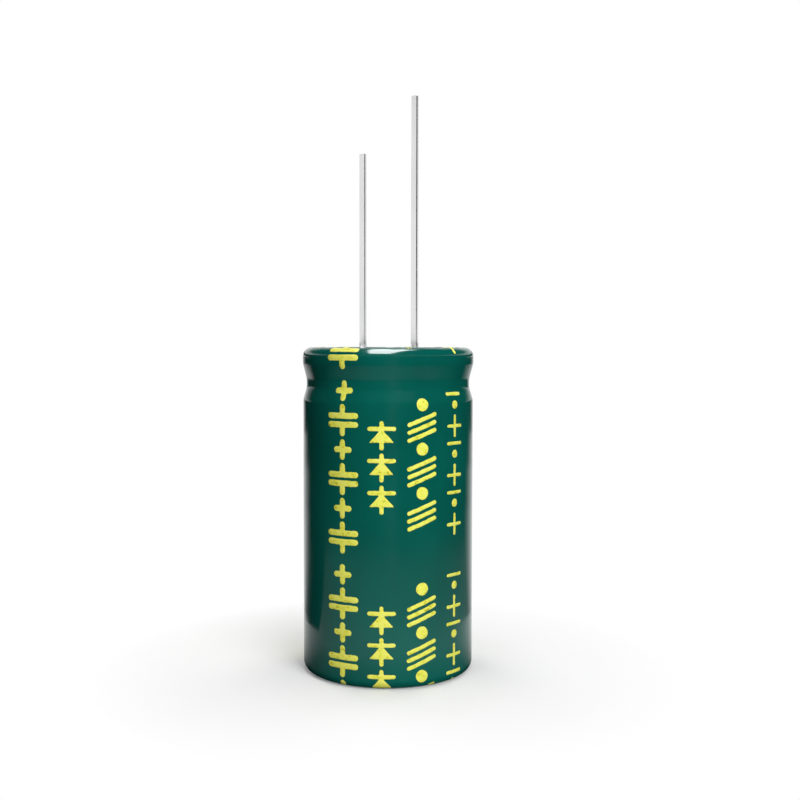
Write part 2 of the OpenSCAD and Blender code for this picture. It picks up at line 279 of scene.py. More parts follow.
def drawn_aluminium():
    """Aluminium, deep-drawn from sheet with oil.

    Bright and slightly soft, with long draw marks up the wall and round the rolled edges. The
    marks are drawn 0.18 mm wide, coarser than the real ones, so that they show.
    """
    material, tree, place = start("drawn_aluminium")
    mark_map = add(tree, "ShaderNodeMapping", Vector=place, Scale=unit_mm(0.18, 0.18, 12))
    draw_marks = add(tree, "ShaderNodeTexNoise", Vector=mark_map, Scale=1, Detail=2)
    oil_map = add(tree, "ShaderNodeMapping", Vector=place, Scale=unit_mm(3, 3, 3))
    oil = add(tree, "ShaderNodeTexNoise", Vector=oil_map, Scale=1, Detail=3)
    colour = add(tree, "ShaderNodeValToRGB", Fac=oil, stops=[(0.3, "#cfd1d2"), (0.7, "#dfe0e1")])
    gloss = add(tree, "ShaderNodeValToRGB", Fac=draw_marks, stops=[(0.3, 0.22), (0.7, 0.36)])
    bump = add(tree, "ShaderNodeBump", Strength=0.2, Distance=0.01 * MM, Height=draw_marks)
    bsdf = add(
        tree, "ShaderNodeBsdfPrincipled", Base_Color=colour, Metallic=1.0, Roughness=gloss,
        Normal=bump,
    )
    add(tree, "ShaderNodeOutputMaterial", Surface=bsdf)
    return material


def moulded_rubber():
    """EPDM rubber, compression moulded.

    Black and dull, with the grain of the blasted mould, drawn coarse enough to show, and a pale
    bloom of mould dust.
    """
    material, tree, place = start("moulded_epdm_rubber")
    dust_map = add(tree, "ShaderNodeMapping", Vector=place, Scale=unit_mm(1.1, 1.1, 1.1))
    dust = add(tree, "ShaderNodeTexNoise", Vector=dust_map, Scale=1, Detail=4, Roughness=0.6)
    grain_map = add(tree, "ShaderNodeMapping", Vector=place, Scale=unit_mm(0.09, 0.09, 0.09))
    grain = add(tree, "ShaderNodeTexNoise", Vector=grain_map, Scale=1, Detail=2)
    colour = add(tree, "ShaderNodeValToRGB", Fac=dust, stops=[(0.35, "#17181a"), (0.75, "#2a2b2d")])
    bump = add(tree, "ShaderNodeBump", Strength=0.5, Distance=0.02 * MM, Height=grain)
    bsdf = add(
        tree, "ShaderNodeBsdfPrincipled", Base_Color=colour, Roughness=0.62, IOR=1.5, Normal=bump
    )
    add(tree, "ShaderNodeOutputMaterial", Surface=bsdf)
    return material


def tinned_wire():
    """Copper-clad steel wire, hot tinned and drawn.

    Bright and pale, with drawing lines along the wire, coarser than the real ones so that they
    show, and slow changes in the tin's gloss.
    """
    material, tree, place = start("tinned_wire")
    line_map = add(tree, "ShaderNodeMapping", Vector=place, Scale=unit_mm(0.09, 0.09, 9))
    lines = add(tree, "ShaderNodeTexNoise", Vector=line_map, Scale=1, Detail=2)
    drift_map = add(tree, "ShaderNodeMapping", Vector=place, Scale=unit_mm(2, 2, 7))
    drift = add(tree, "ShaderNodeTexNoise", Vector=drift_map, Scale=1, Detail=2)
    colour = add(tree, "ShaderNodeValToRGB", Fac=drift, stops=[(0.3, "#dcdddd"), (0.7, "#e6e6e6")])
    gloss = add(tree, "ShaderNodeValToRGB", Fac=drift, stops=[(0.3, 0.2), (0.7, 0.15)])
    bump = add(tree, "ShaderNodeBump", Strength=0.12, Distance=0.01 * MM, Height=lines)
    bsdf = add(
        tree, "ShaderNodeBsdfPrincipled", Base_Color=colour, Metallic=1.0, Roughness=gloss,
        Normal=bump,
    )
    add(tree, "ShaderNodeOutputMaterial", Surface=bsdf)
    return material


def sheared_end():
    """Steel core of the wire, bared where the shear cut it off.

    Grey and dull beside the tin, with the shear's drag marks across it.
    """
    material, tree, place = start("sheared_wire_end")
    drag_map = add(tree, "ShaderNodeMapping", Vector=place, Scale=unit_mm(0.5, 0.05, 0.3))
    drag = add(tree, "ShaderNodeTexNoise", Vector=drag_map, Scale=1, Detail=3)
    colour = add(tree, "ShaderNodeValToRGB", Fac=drag, stops=[(0.3, "#66625d"), (0.7, "#85817b")])
    bump = add(tree, "ShaderNodeBump", Strength=0.5, Distance=0.01 * MM, Height=drag)
    bsdf = add(
        tree, "ShaderNodeBsdfPrincipled", Base_Color=colour, Metallic=0.15, Roughness=0.75,
        Normal=bump,
    )
    add(tree, "ShaderNodeOutputMaterial", Surface=bsdf)
    return material


def etched_tab():
    """Soft aluminium tab, rolled and etched, which leaves it matt and faintly pitted."""
    material, tree, place = start("etched_aluminium_tab")
    pit_map = add(tree, "ShaderNodeMapping", Vector=place, Scale=unit_mm(0.1, 0.1, 0.1))
    pits = add(tree, "ShaderNodeTexNoise", Vector=pit_map, Scale=1, Detail=3)
    colour = add(tree, "ShaderNodeValToRGB", Fac=pits, stops=[(0.3, "#c4c6c7"), (0.7, "#d8d9da")])
    bump = add(tree, "ShaderNodeBump", Strength=0.4, Distance=0.01 * MM, Height=pits)
    bsdf = add(
        tree, "ShaderNodeBsdfPrincipled", Base_Color=colour, Metallic=1.0, Roughness=0.48,
        Normal=bump,
    )
    add(tree, "ShaderNodeOutputMaterial", Surface=bsdf)
    return material


def soaked_paper():
    """Kraft and manila paper wound with grey foil, and soaked in electrolyte.

    Tan fibres darkened by the liquid, with a wet sheen over them.
    """
    material, tree, place = start("soaked_capacitor_paper")
    fibre_map = add(tree, "ShaderNodeMapping", Vector=place, Scale=unit_mm(0.12, 0.12, 0.9))
    fibres = add(tree, "ShaderNodeTexNoise", Vector=fibre_map, Scale=1, Detail=4, Roughness=0.6)
    damp_map = add(tree, "ShaderNodeMapping", Vector=place, Scale=unit_mm(4, 4, 5))
    damp = add(tree, "ShaderNodeTexNoise", Vector=damp_map, Scale=1, Detail=2)
    mixed = add(tree, "ShaderNodeMath", {"operation": "MULTIPLY_ADD"}, _0=fibres, _1=0.5, _2=damp)
    colour = add(
        tree, "ShaderNodeValToRGB", Fac=mixed, stops=[(0.55, "#8f7950"), (0.95, "#c0a87c")]
    )
    bump = add(tree, "ShaderNodeBump", Strength=0.4, Distance=0.02 * MM, Height=fibres)
    bsdf = add(
        tree, "ShaderNodeBsdfPrincipled", Base_Color=colour, Roughness=0.5, IOR=1.45,
        Coat_Weight=0.3, Coat_Roughness=0.25, Normal=bump,
    )
    add(tree, "ShaderNodeOutputMaterial", Surface=bsdf)
    return material


def brown_tape():
    """Polypropylene tape with brown adhesive, cast smooth and glossy.

    It is streaked where it was pulled.
    """
    material, tree, place = start("brown_polypropylene_tape")
    streak_map = add(tree, "ShaderNodeMapping", Vector=place, Scale=unit_mm(3, 3, 0.4))
    streaks = add(tree, "ShaderNodeTexNoise", Vector=streak_map, Scale=1, Detail=3)
    brown = [(0.3, "#a4692a"), (0.7, "#bf8743")]
    colour = add(tree, "ShaderNodeValToRGB", Fac=streaks, stops=brown)
    bsdf = add(tree, "ShaderNodeBsdfPrincipled", Base_Color=colour, Roughness=0.22, IOR=1.49)
    add(tree, "ShaderNodeOutputMaterial", Surface=bsdf)
    return material


FILM = shrink_film()
INK = printing_ink()
ALUMINIUM = drawn_aluminium()
RUBBER = moulded_rubber()
TIN = tinned_wire()
SHEARED = sheared_end()
TAB = etched_tab()
PAPER = soaked_paper()
TAPE = brown_tape()

# ---- Outlines of turned pieces ----

BEND_STEP = math.radians(6)


def bend(before, corner, after):
    """Points of one bend of an outline, and the outward normal at each."""
    a, b, c = (np.array(p[:2], float) for p in (before, corner, after))
    into, out = (b - a) / np.linalg.norm(b - a), (c - b) / np.linalg.norm(c - b)
    turn = math.atan2(into[0] * out[1] - into[1] * out[0], into @ out)
    left_in, left_out = np.array([-into[1], into[0]]), np.array([-out[1], out[0]])
    if corner[2] == 0:
        return [(b, -left_in), (b, -left_out)]
    r = math.copysign(corner[2], turn)
    middle = left_in + left_out
    centre = b + middle / np.linalg.norm(middle) * r / math.cos(turn / 2)
    steps = max(2, math.ceil(abs(turn) / BEND_STEP))
    points = []
    for k in range(steps + 1):
        angle = turn * k / steps
        right = -left_in * math.cos(angle) + into * math.sin(angle)
        points.append((centre + r * right, right))
    return points


def outline(path, longest):
    """An open outline as arrays of distance along it, radius, height and outward normal."""
    first, last = np.array(path[0][:2], float), np.array(path[-1][:2], float)
    bent = [pair for i in range(1, len(path) - 1) for pair in bend(*path[i - 1 : i + 2])]
    knots = [first] + [point for point, _ in bent] + [last]
    normals = [bent[0][1]] + [normal for _, normal in bent] + [bent[-1][1]]
    places, facing = [knots[0]], [normals[0]]
    for p, q, m, n in zip(knots, knots[1:], normals, normals[1:]):
        pieces = max(1, math.ceil(np.linalg.norm(q - p) / longest))
        for k in range(1, pieces + 1):
            share = k / pieces
            places.append(p + (q - p) * share)
            facing.append(m + (n - m) * share)
    places, facing = np.array(places), np.array(facing)
    facing /= np.linalg.norm(facing, axis=1)[:, None]
    steps = np.linalg.norm(np.diff(places, axis=0), axis=1)
    keep = np.concatenate([[True], steps > 1e-6])
    places, facing = places[keep], facing[keep]
    along = np.concatenate([[0], np.cumsum(np.linalg.norm(np.diff(places, axis=0), axis=1))])
    return along, places[:, 0], places[:, 1], facing


def put(name, mesh, material, nodes):
    """Puts a finished mesh in the scene as a piece that stands for its CAD nodes."""
    piece = bpy.data.objects.new(name, mesh)
    bpy.context.scene.collection.objects.link(piece)
    mesh.materials.append(material)
    mesh.shade_smooth()
    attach(piece, "root")
    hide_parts(*nodes)
    return piece


def mesh_of(name, points, faces):
    """A mesh from points in millimetres."""
    mesh = bpy.data.meshes.new(name)
    mesh.from_pydata((np.asarray(points) * MM).tolist(), [], faces)
    mesh.update()
    return mesh


def ring_faces(rows, columns):
    """Quads of a grid of rows by columns that closes on itself both ways."""
    faces = []
    for i in range(rows):
        j = (i + 1) % rows
        for k in range(columns):
            n = (k + 1) % columns
            faces.append((i * columns + k, i * columns + n, j * columns + n, j * columns + k))
    return faces


def finished(built, name):
    """A mesh from a bmesh, with its faces turned outwards."""
    bmesh.ops.recalc_face_normals(built, faces=built.faces)
    mesh = bpy.data.meshes.new(name)
    built.to_mesh(mesh)
    built.free()
    return mesh


def turned_mesh(name, section, around=192):
    """A solid turned about the Z axis from a closed section of (radius, height)."""
    built = bmesh.new()
    angles = [2 * math.pi * k / around for k in range(around)]
    rows = []
    for r, z in section:
        if r < 1e-6:
            rows.append([built.verts.new((0, 0, z * MM))] * around)
            continue
        ring = [(r * math.cos(a) * MM, r * math.sin(a) * MM, z * MM) for a in angles]
        rows.append([built.verts.new(point) for point in ring])
    for row, nxt in zip(rows, rows[1:] + rows[:1]):
        for k in range(around):
            corners = [row[k], row[(k + 1) % around], nxt[(k + 1) % around], nxt[k]]
            corners = list(dict.fromkeys(corners))
            if len(corners) > 2:
                built.faces.new(corners)
    return finished(built, name)


def cut(mesh, cutters):
    """The mesh with each cutter's solid taken out of it."""
    target = bpy.data.objects.new("target", mesh)
    bpy.context.scene.collection.objects.link(target)
    tools = []
    for cutter in cutters:
        tool = bpy.data.objects.new("cutter", cutter)
        bpy.context.scene.collection.objects.link(tool)
        modifier = target.modifiers.new("cut", "BOOLEAN")
        modifier.operation, modifier.solver, modifier.object = "DIFFERENCE", "EXACT", tool
        tools.append(tool)
    graph = bpy.context.evaluated_depsgraph_get()
    result = bpy.data.meshes.new_from_object(target.evaluated_get(graph))
    for used in [target] + tools:
        bpy.data.objects.remove(used)
    return result


# ---- The shrunk film ----

# The outline is carried on past both cut edges, so that an uneven edge may reach beyond it.
EDGE_ROOM = 0.5


def film_outline():
    """Distance along the film's outside, radius, height and outward normal."""
    along, r, z, facing = outline(FILM_PATH, longest=0.5)
    along = np.concatenate([[-EDGE_ROOM], along, [along[-1] + EDGE_ROOM]])
    r = np.concatenate([[r[0] - EDGE_ROOM], r, [r[-1] - EDGE_ROOM]])
    z = np.concatenate([z[:1], z, z[-1:]])
    return along, r, z, np.concatenate([facing[:1], facing, facing[-1:]])


ALONG, RADIUS, HEIGHT, FACING = film_outline()
FILM_LENGTH = ALONG[-1] - EDGE_ROOM
FILM_AROUND = 256
# The film spans the bead, so it puckers there; elsewhere it lies tight on the metal.
PUCKER = 0.05
BODY_WAVE = 0.007
LIP_RIPPLE = 0.02
# Points of the rounded cut edge: how far past the cut, and how high over the film's outside
ROUND_EDGE = [(0.045, -0.02), (0.07, -0.075), (0.045, -0.13)]
# How far each cut edge's unevenness reaches into the film, and the phase of its waves
LOW_EDGE_REACH, LOW_EDGE_PHASE = 0.7, 0.7
HIGH_EDGE_REACH, HIGH_EDGE_PHASE = 0.3, 2.1


def wave(angle, height):
    """How far the shrunk film stands off its even outline, in millimetres.

    Each sine has its share, the waves that go round the can, and a phase that may drift upwards.
    """
    groove = np.exp(-(((height - BEAD_Z) / 1.5) ** 2))
    puckers = (
        0.5 * np.sin(7 * angle + 0.4 + 0.5 * np.sin(height))
        + 0.3 * np.sin(11 * angle + 1.9)
        + 0.2 * np.sin(19 * angle + 0.8 * height)
    )
    slow = 1 + 0.6 * np.sin(3 * angle + 0.21 * height) + 0.4 * np.sin(5 * angle - 0.33 * height + 1)
    lip = np.clip((height - FILM_TOP_Z + 0.5) / 0.5, 0, 1) ** 2
    ripple = 1 + 0.6 * np.sin(13 * angle + 0.9) + 0.4 * np.sin(29 * angle + 2.2)
    off_floor = np.clip(height / 3, 0, 1)
    return PUCKER * groove * puckers + BODY_WAVE * off_floor * slow + LIP_RIPPLE * lip * ripple


def on_film(angle, along, lift):
    """Points on the film's outside, or lift millimetres above it."""
    r, z = np.interp(along, ALONG, RADIUS), np.interp(along, ALONG, HEIGHT)
    nr, nz = np.interp(along, ALONG, FACING[:, 0]), np.interp(along, ALONG, FACING[:, 1])
    off = lift + wave(angle, z)
    r, z = r + nr * off, z + nz * off
    return np.stack([r * np.cos(angle), r * np.sin(angle), z], axis=-1)


def cut_edge(angle, phase):
    """How uneven the knife and the heat left the film's edge, in millimetres."""
    return (
        0.06 * np.sin(3 * angle + phase)
        + 0.035 * np.sin(8 * angle + 2 * phase)
        + 0.02 * np.sin(21 * angle + 3 * phase)
        + 0.012 * np.sin(47 * angle + phase)
    )


def make_film():
    """Outside and inside faces of the film, joined by rounded edges at both openings."""
    inner = [s for s in ALONG if 0 <= s <= FILM_LENGTH]
    rows = [(s, 0) for s in inner]
    rows += [(FILM_LENGTH + out, lift) for out, lift in ROUND_EDGE]
    rows += [(s, -FILM_T) for s in inner[::-1]]
    rows += [(-out, lift) for out, lift in ROUND_EDGE[::-1]]
    angle = np.linspace(0, 2 * math.pi, FILM_AROUND, endpoint=False)
    points = []
    for s, lift in rows:
        low = np.clip(1 - s / LOW_EDGE_REACH, 0, 1)
        high = np.clip(1 - (FILM_LENGTH - s) / HIGH_EDGE_REACH, 0, 1)
        uneven = low * cut_edge(angle, LOW_EDGE_PHASE) + high * cut_edge(angle, HIGH_EDGE_PHASE)
        points.append(on_film(angle, s + uneven, lift))
    mesh = mesh_of("sleeve_film", np.concatenate(points), ring_faces(len(rows), FILM_AROUND))
    put("sleeve_film", mesh, FILM, ["sleeve"])


make_film()

# ---- The print ----

STROKE = 0.42
BOLD = 0.6
THIN = 0.34
COLUMN_W = 3
PRINT_PITCH = 18.8
PRINT_ANGLE = -39
COLUMN_STEP = 26.4
BACK_TURN = 110
BACK_COLUMNS = 2
COLUMN_STARTS = [15.5, 18.8, 17, 16.6]
BLOCK_MARKS = 3
STRIPE_DIRECTION = 180
STRIPE_ANGLE = 54
STRIPE_SIGNS = 7
MINUS_L = 3.4
MINUS_W = 1.1
# Depth of the ink at its edge and in the middle of a stroke, and the width of its soft edge
INK_LOW, INK_HIGH = 0.003, 0.022
INK_EDGE = 0.09
EDGE_WOBBLE = 0.024
# The print runs part way round the bends at the base and at the rim.
PRINT_LOW_Z = 0.2
PRINT_PAST_RIM = 1.45
RIM_BEND_Z = FILM_TOP_Z - FILM_RIM_BEND_R
# Cells of the grids on which the ink is drawn, and how far those grids reach past the print
MARK_CELL, STRIPE_CELL = 0.1, 0.15
COLUMN_MARGIN, STRIPE_GRID_HALF = 0.5, 4.8


def along_for(height):
    """Distance along the film for a height in the print, which runs on round the rim."""
    rising = (ALONG > 2) & (HEIGHT > 0) & (HEIGHT < RIM_BEND_Z + 0.001)
    on_side = np.interp(height, HEIGHT[rising], ALONG[rising])
    return on_side + np.maximum(0, height - RIM_BEND_Z)


# Each mark is a field of distances to its edge, in millimetres and negative inside the ink.
def bar(x, y, x0, y0, x1, y1, width):
    """A line with round ends."""
    dx, dy = x1 - x0, y1 - y0
    share = np.clip(((x - x0) * dx + (y - y0) * dy) / (dx * dx + dy * dy), 0, 1)
    return np.hypot(x - x0 - share * dx, y - y0 - share * dy) - width / 2


def block(x, y, x0, y0, x1, y1):
    """A rectangle."""
    qx = abs(x - (x0 + x1) / 2) - (x1 - x0) / 2
    qy = abs(y - (y0 + y1) / 2) - (y1 - y0) / 2
    return np.hypot(np.maximum(qx, 0), np.maximum(qy, 0)) + np.minimum(np.maximum(qx, qy), 0)


def dot(x, y, y0, r):
    """A round dot."""
    return np.hypot(x, y - y0) - r


def plus(x, y, y0, size, width):
    """A plus sign."""
    half = size / 2
    across = bar(x, y, -half, y0, half, y0, width)
    return joined(across, bar(x, y, 0, y0 - half, 0, y0 + half, width))


def joined(*fields):
    """Marks that run into each other."""
    return np.minimum.reduce(fields)


def plate_mark(x, y):
    """Two plates on their wires, as a circuit diagram shows a capacitor, and a plus sign."""
    half, gap, wire, plus_y, plus_w = COLUMN_W / 2, 0.45, 0.9, 3, 1.5
    return joined(
        bar(x, y, -half, gap, half, gap, BOLD), bar(x, y, 0, gap, 0, gap + wire, BOLD),
        bar(x, y, -half, -gap, half, -gap, BOLD), bar(x, y, 0, -gap, 0, -gap - wire, BOLD),
        plus(x, y, plus_y, plus_w, BOLD),
    )


def arrow_mark(x, y):
    """An arrowhead with a bar across its tip and a wire at both ends, as for a diode."""
    half, high, wire = 1.25, 1.4, 0.55
    slope = np.hypot(half, high)
    head = np.maximum(-y, (abs(x) * high + y * half - half * high) / slope)
    return joined(
        head, bar(x, y, -half, high, half, high, STROKE), bar(x, y, 0, -wire, 0, 0, STROKE),
        bar(x, y, 0, high, 0, high + wire, STROKE),
    )


def slant_mark(x, y):
    """Three slanted strokes with a dot above them."""
    half, tilt, rise, dot_y, dot_r = COLUMN_W / 2, math.radians(20), 0.8, 3.1, 0.65
    dx, dy = half * math.cos(tilt), half * math.sin(tilt)
    strokes = [bar(x, y, -dx, up - dy, dx, up + dy, STROKE) for up in (0, rise, 2 * rise)]
    return joined(dot(x, y, dot_y, dot_r), *strokes)


def sign_mark(x, y):
    """A plus sign, a dot and a minus sign."""
    half, dot_y, dot_r, minus_y = 1, 2.2, 0.42, 3.3
    minus = bar(x, y, -half, minus_y, half, minus_y, THIN)
    return joined(plus(x, y, 0, 2 * half, THIN), dot(x, y, dot_y, dot_r), minus)


# Each kind of mark and the step after which it repeats
COLUMN_KINDS = [(plate_mark, 6), (arrow_mark, 3.25), (slant_mark, 4.5), (sign_mark, 5.1)]


def column_field(kind):
    """The field of a whole column: its block of marks, repeated up the can."""
    mark, step = COLUMN_KINDS[kind]
    starts = [COLUMN_STARTS[kind] + repeat * PRINT_PITCH for repeat in (-1, 0, 1)]
    places = [begin + i * step for begin in starts for i in range(BLOCK_MARKS)]
    return lambda x, y: joined(*[mark(x, y - place) for place in places])


def stripe_field(x, y):
    """The broad stripe beside the negative lead, with minus signs left open in it."""
    half, step = FILM_R * math.radians(STRIPE_ANGLE) / 2, PRINT_PITCH / 3
    band = abs(x) - half
    for k in range(STRIPE_SIGNS):
        middle = step * (k + 0.5)
        sign = block(x, y, -MINUS_W / 2, middle - MINUS_L / 2, MINUS_W / 2, middle + MINUS_L / 2)
        band = np.maximum(band, -sign)
    return band


def wobble(x, y, seed):
    """Uneven ink edges: smooth noise with lumps of a third of a millimetre, from -1 to 1."""
    size, lump, before_x, before_y = 127, 0.33, 20, 3
    lattice = np.random.default_rng(seed).uniform(-1, 1, (size, size))
    u, v = x / lump + before_x, y / lump + before_y
    i, j = np.floor(u).astype(int), np.floor(v).astype(int)
    fu, fv = u - i, v - j
    fu, fv = fu * fu * (3 - 2 * fu), fv * fv * (3 - 2 * fv)
    low = lattice[i % size, j % size] * (1 - fu) + lattice[(i + 1) % size, j % size] * fu
    j = j + 1
    high = lattice[i % size, j % size] * (1 - fu) + lattice[(i + 1) % size, j % size] * fu
    return low * (1 - fv) + high * fv


def contour(values):
    """Cells of a grid, cut along the line where the values cross zero.

    Returns each point's place on the grid, whether it is on that line, and the faces.
    """
    inside = values < 0
    count = inside[:-1, :-1].astype(int) + inside[1:, :-1] + inside[:-1, 1:] + inside[1:, 1:]
    places, on_edge, index, faces = [], [], {}, []

    def point(key, place, edge):
        """The point's number, which it gets the first time that it is asked for."""
        if key not in index:
            index[key] = len(places)
            places.append(place)
            on_edge.append(edge)
        return index[key]

    for i, j in zip(*np.nonzero(count)):
        corners = [(i, j), (i + 1, j), (i + 1, j + 1), (i, j + 1)]
        face = []
        for a, b in zip(corners, corners[1:] + corners[:1]):
            if inside[a]:
                face.append(point(a, a, False))
            if inside[a] != inside[b]:
                low, high = min(a, b), max(a, b)
                # Kept off the corners of the cell, so that no face is a sliver
                share = np.clip(values[low] / (values[low] - values[high]), 0.05, 0.95)
                place = (low[0] + (high[0] - low[0]) * share, low[1] + (high[1] - low[1]) * share)
                face.append(point((low, high), place, True))
        faces.append(face)
    return np.array(places, float), np.array(on_edge), faces


def rim_edges(faces):
    """Edges that only one face has."""
    seen = {}
    for face in faces:
        for a, b in zip(face, face[1:] + face[:1]):
            if (b, a) in seen:
                del seen[(b, a)]
            else:
                seen[(a, b)] = True
    return list(seen)


def ink_solid(field, direction, half_width, cell, seed):
    """Points and faces of one field of ink laid on the film, closed underneath."""
    x = np.arange(-half_width, half_width + cell, cell)
    y = np.arange(PRINT_LOW_Z, RIM_BEND_Z + PRINT_PAST_RIM + cell, cell)
    grid_x, grid_y = np.meshgrid(x, y, indexing="ij")
    values = field(grid_x, grid_y) + EDGE_WOBBLE * wobble(grid_x, grid_y, seed)
    bare = cell / 2
    values[:, 0] = values[:, -1] = values[0, :] = values[-1, :] = bare
    places, on_edge, faces = contour(values)
    px, py = x[0] + places[:, 0] * cell, y[0] + places[:, 1] * cell
    i, j = np.rint(places).astype(int).T
    depth = np.where(on_edge, 0, np.clip(-values[i, j] / INK_EDGE, 0, 1))
    lift = INK_LOW + (INK_HIGH - INK_LOW) * depth * depth * (3 - 2 * depth)
    angle, along = math.radians(direction) + px / FILM_R, along_for(py)
    top, under = on_film(angle, along, lift), on_film(angle, along, -INK_LOW)
    count = len(top)
    closed = faces + [[k + count for k in reversed(face)] for face in faces]
    closed += [[b, a, a + count, b + count] for a, b in rim_edges(faces)]
    return np.concatenate([top, under]), closed


def put_ink(name, solids, node):
    """Puts solids of ink in the scene as one piece."""
    points, faces, base = [], [], 0
    for more_points, more_faces in solids:
        points.append(more_points)
        faces += [[k + base for k in face] for face in more_faces]
        base += len(more_points)
    piece = put(name, mesh_of(name, np.concatenate(points), faces), INK, [node])
    piece.data.set_sharp_from_angle(angle=math.radians(50))


def make_print():
    """One column of each kind round the front, two at the back, and the stripe."""
    kinds, grid_half = len(COLUMN_KINDS), COLUMN_W / 2 + COLUMN_MARGIN
    directions = [PRINT_ANGLE + (i - (kinds - 1) / 2) * COLUMN_STEP for i in range(kinds)]
    directions += [PRINT_ANGLE + BACK_TURN + i * COLUMN_STEP for i in range(BACK_COLUMNS)]
    marks = [
        ink_solid(column_field(i % kinds), direction, grid_half, MARK_CELL, seed=i)
        for i, direction in enumerate(directions)
    ]
    put_ink("print_marks", marks, "sleeve_print")
    stripe = ink_solid(
        stripe_field, STRIPE_DIRECTION, STRIPE_GRID_HALF, STRIPE_CELL, seed=len(marks)
    )
    put_ink("print_stripe", [stripe], "polarity_stripe")


make_print()

# ---- Can, bung and leads ----


def sheet_section(path, thickness):
    """Closed section of a sheet whose outside is the outline."""
    _, r, z, facing = outline(path, longest=2)
    outside = list(zip(r, z))
    inside = list(zip(r - facing[:, 0] * thickness, z - facing[:, 1] * thickness))
    inside[0] = (0, inside[0][1])
    return outside + inside[::-1]


def score_line(turn):
    """A V-shaped bar that scores the closed end for the safety vent.

    It is twice as deep and wide as the line that it leaves, so that it cuts through the surface.
    """
    built = bmesh.new()
    half, low, high = VENT_L / 2, CAN_BASE_Z - VENT_DEPTH, CAN_BASE_Z + VENT_DEPTH
    section = [(-VENT_W, low), (VENT_W, low), (0, high)]
    ends = []
    for x in (-half, half):
        ends.append([built.verts.new((x * MM, y * MM, z * MM)) for y, z in section])
    built.faces.new(ends[0])
    built.faces.new(ends[1][::-1])
    for k in range(3):
        n = (k + 1) % 3
        built.faces.new([ends[0][k], ends[1][k], ends[1][n], ends[0][n]])
    bmesh.ops.rotate(built, verts=built.verts, matrix=Matrix.Rotation(turn, 3, "Z"))
    return finished(built, "score_line")


def make_can():
    """The drawn can with its bead and its rolled rim, scored across its closed end."""
    shell = turned_mesh("can_shell", sheet_section(CAN_PATH, CAN_WALL))
    shell = cut(shell, [score_line(0), score_line(math.pi / 2)])
    can = put("can_shell", shell, ALUMINIUM, ["can"])
    can.data.set_sharp_from_angle(angle=math.radians(35))


make_can()

# Height of the recess's floor, of the wide hole's end and of the straight wire's start
RECESS_Z = BUNG_TOP_Z - RECESS_DEPTH
BOSS_TOP_Z = BUNG_TOP_Z - RECESS_DEPTH - BUNG_SKIN
WIRE_Z = BUNG_TOP_Z - RECESS_DEPTH - WELD_DROP
# Cutters reach this far past the faces that they open
PAST = 1
# Moulded edges of the rubber: a recess's lip and the bend at its floor, and how far the middle of
# the lower edge stands in from both faces
LIP_R = 0.15
FLOOR_R = 0.1
EDGE_STEP = 0.15
# The can grips the bung's flank from this far below the bead
GRIP_DROP = 0.3
# Weld at the wire's foot: its shoulder and its toe, as (radius, height) steps
WELD_SHOULDER = (0.03, 0.2)
WELD_TOE = (0.04, 0.1)
# Chamfer that the shear leaves at the tip, and the material slot of the bare end
TIP_CHAMFER = 0.012
SHEARED_SLOT = 1
# Rings close to both ends of the straight wire keep its shading even.
LOW_RING = 0.04
HIGH_RING = 3 * TIP_CHAMFER


def at_lead(mesh, side):
    """Moves a mesh from the can's axis to one of the two leads."""
    mesh.transform(Matrix.Translation((side * LEAD_PITCH / 2 * MM, 0, 0)))
    return mesh


def hole_mesh(side):
    """The moulded hole of one lead: wide below for the boss, close round the weld, and a recess."""
    low, high, weld_r = BUNG_TOP_Z - BUNG_T - PAST, BUNG_TOP_Z + PAST, WELD_R + SEAT_GAP
    section = [(0, low), (BOSS_HOLE_R, low), (BOSS_HOLE_R, BOSS_TOP_Z), (weld_r, BOSS_TOP_Z)]
    section += [(weld_r, RECESS_Z), (RECESS_R - FLOOR_R, RECESS_Z), (RECESS_R, RECESS_Z + FLOOR_R)]
    section += [
        (RECESS_R + LIP_R * (1 - math.cos(a)), BUNG_TOP_Z - LIP_R * (1 - math.sin(a)))
        for a in np.linspace(0, math.pi / 2, 6)
    ]
    section += [(RECESS_R + LIP_R, high), (0, high)]
    return at_lead(turned_mesh("lead_hole", section, around=64), side)


def make_bung():
    """The moulded bung, whose flank and shoulder fill the can's bead and rim."""
    _, r, z, facing = outline(CAN_PATH, longest=2)
    inset = CAN_WALL + SEAT_GAP
    flank = zip(r - facing[:, 0] * inset, z - facing[:, 1] * inset)
    bung_r, low = CAN_R - inset, BUNG_TOP_Z - BUNG_T
    section = [(0, low), (bung_r - BUNG_EDGE_R, low), (bung_r - EDGE_STEP, low + EDGE_STEP)]
    section += [(bung_r, low + BUNG_EDGE_R)]
    section += [(out, up) for out, up in flank if up > BEAD_LOW_Z - GRIP_DROP]
    section += [(0, BUNG_TOP_Z)]
    bung = cut(turned_mesh("rubber_bung_top", section), [hole_mesh(-1), hole_mesh(1)])
    piece = put("bung_rubber", bung, RUBBER, ["rubber_bung"])
    piece.data.set_sharp_from_angle(angle=math.radians(35))


